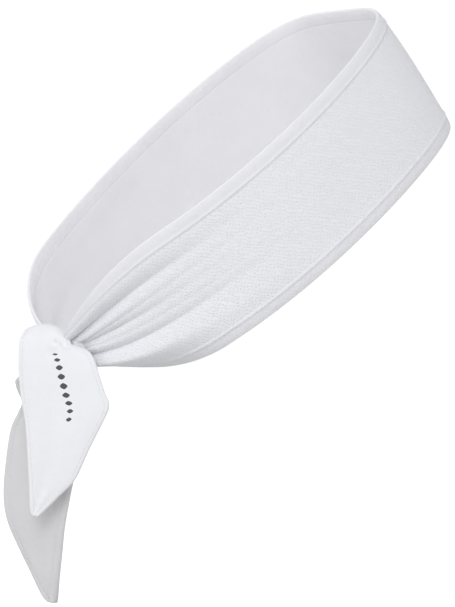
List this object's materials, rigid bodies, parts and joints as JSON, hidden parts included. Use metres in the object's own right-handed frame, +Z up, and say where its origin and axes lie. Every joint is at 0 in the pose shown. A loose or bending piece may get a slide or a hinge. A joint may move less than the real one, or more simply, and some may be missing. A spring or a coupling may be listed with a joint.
{
  "type": "sports headband",
  "caption": "Tie-on sports headband: a two-layer knit band in a tilted oval loop, bound along both edges, gathered into a knot at the nape with hanging tails.",
  "frame": {"origin": "middle of the head opening, half way from knot to forehead and half way up the band", "axes": "+Z up as worn on a level head, +X towards the forehead, +Y to the wearer's left"},
  "size_m": [0.2129, 0.1406, 0.2851],
  "materials": {
    "mesh_knit": "matt white knitted mesh with small stitches in rows along the band",
    "jersey": "matt smooth white jersey",
    "binding": "matt smooth white jersey",
    "tail_cloth": "matt smooth white jersey",
    "thread": "white polyester sewing thread",
    "print": "dark grey heat-transfer film"
  },
  "bodies": {
    "band": {"band_outer_panel": "mesh_knit", "band_lining": "jersey", "upper_edge_binding": "binding", "lower_edge_binding": "binding", "upper_edge_stitching": "thread", "lower_edge_stitching": "thread", "knot_wrap": "binding", "knot_core": "binding", "right_join_seam": "thread", "left_join_seam": "thread"},
    "front_tail": {"front_tail_face": "tail_cloth", "front_tail_back": "tail_cloth", "front_tail_stitching": "thread", "front_tail_mark": "print"},
    "rear_tail": {"rear_tail_face": "tail_cloth", "rear_tail_back": "tail_cloth", "rear_tail_stitching": "thread"}
  },
  "joints": [
    {"name": "front_tail_lift", "type": "hinge", "parent": "band", "child": "front_tail", "pos_m": [-0.09095, 0.0078, -0.06068], "axis": [-0.7071, 0.7071, 0], "range_deg": [0, 95]},
    {"name": "rear_tail_sway", "type": "hinge", "parent": "band", "child": "rear_tail", "pos_m": [-0.08275, 0.016, -0.07018], "axis": [-0.7071, -0.7071, 0], "range_deg": [-35, 20]}
  ]
}
